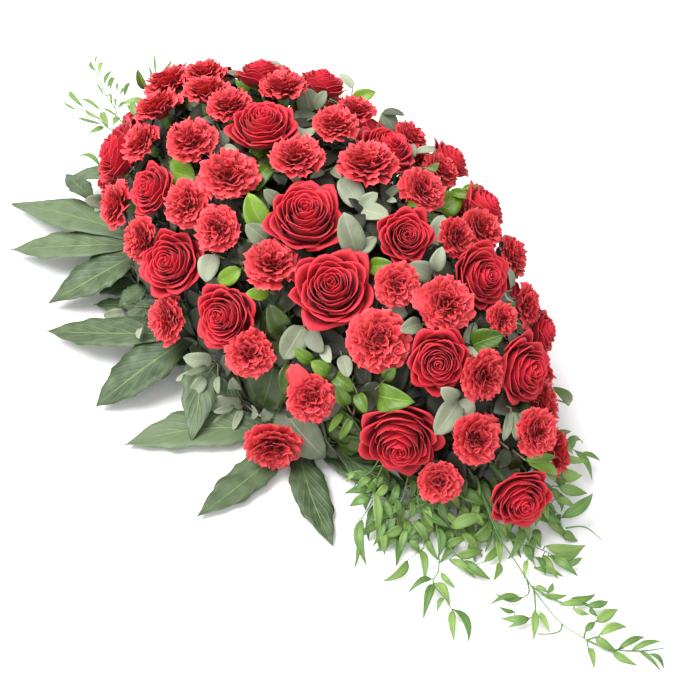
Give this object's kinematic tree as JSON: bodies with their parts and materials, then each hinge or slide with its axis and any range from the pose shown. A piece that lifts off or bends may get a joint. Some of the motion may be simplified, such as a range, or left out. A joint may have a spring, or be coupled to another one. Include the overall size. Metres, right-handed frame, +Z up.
{
  "type": "funeral flower arrangement",
  "caption": "Single-ended funeral spray of red roses and carnations with mixed leaves, set in wet foam in a low oblong tray.",
  "frame": {"origin": "centre of the tray's flat underside", "axes": "+X along the spray to its thin trailing end, -Y to the side shown most, +Z up"},
  "size_m": [1.0715, 0.588, 0.2883],
  "materials": {
    "tray": "matte",
    "foam": "matte",
    "rose": "velvety",
    "carnation": "matte",
    "fatsia": "satin",
    "eucalyptus": "waxy matte",
    "salal": "glossy",
    "ruscus": "satin"
  },
  "bodies": {
    "root": {"tray": "tray", "foam": "foam", "rose_01": "rose", "rose_02": "rose", "rose_03": "rose", "rose_04": "rose", "rose_05": "rose", "rose_06": "rose", "rose_07": "rose", "rose_08": "rose", "rose_09": "rose", "rose_10": "rose", "rose_11": "rose", "rose_12": "rose", "rose_13": "rose", "rose_14": "rose", "rose_15": "rose", "rose_16": "rose", "rose_17": "rose", "rose_18": "rose", "rose_19": "rose", "rose_20": "rose", "rose_21": "rose", "rose_22": "rose", "rose_23": "rose", "rose_24": "rose", "rose_25": "rose", "carnation_spray_01": "carnation", "carnation_spray_02": "carnation", "carnation_spray_03": "carnation", "carnation_spray_04": "carnation", "carnation_spray_05": "carnation", "carnation_spray_06": "carnation", "carnation_spray_07": "carnation", "carnation_spray_08": "carnation", "carnation_spray_09": "carnation", "carnation_spray_10": "carnation", "carnation_spray_11": "carnation", "carnation_spray_12": "carnation", "carnation_spray_13": "carnation", "fatsia_leaf_01": "fatsia", "fatsia_leaf_02": "fatsia", "fatsia_leaf_03": "fatsia", "fatsia_leaf_04": "fatsia", "fatsia_leaf_05": "fatsia", "fatsia_leaf_06": "fatsia", "eucalyptus_01": "eucalyptus", "eucalyptus_02": "eucalyptus", "eucalyptus_03": "eucalyptus", "eucalyptus_04": "eucalyptus", "eucalyptus_05": "eucalyptus", "salal_01": "salal", "salal_02": "salal", "salal_03": "salal", "salal_04": "salal", "ruscus_01": "ruscus", "ruscus_02": "ruscus", "ruscus_03": "ruscus", "ruscus_04": "ruscus"}
  },
  "joints": []
}
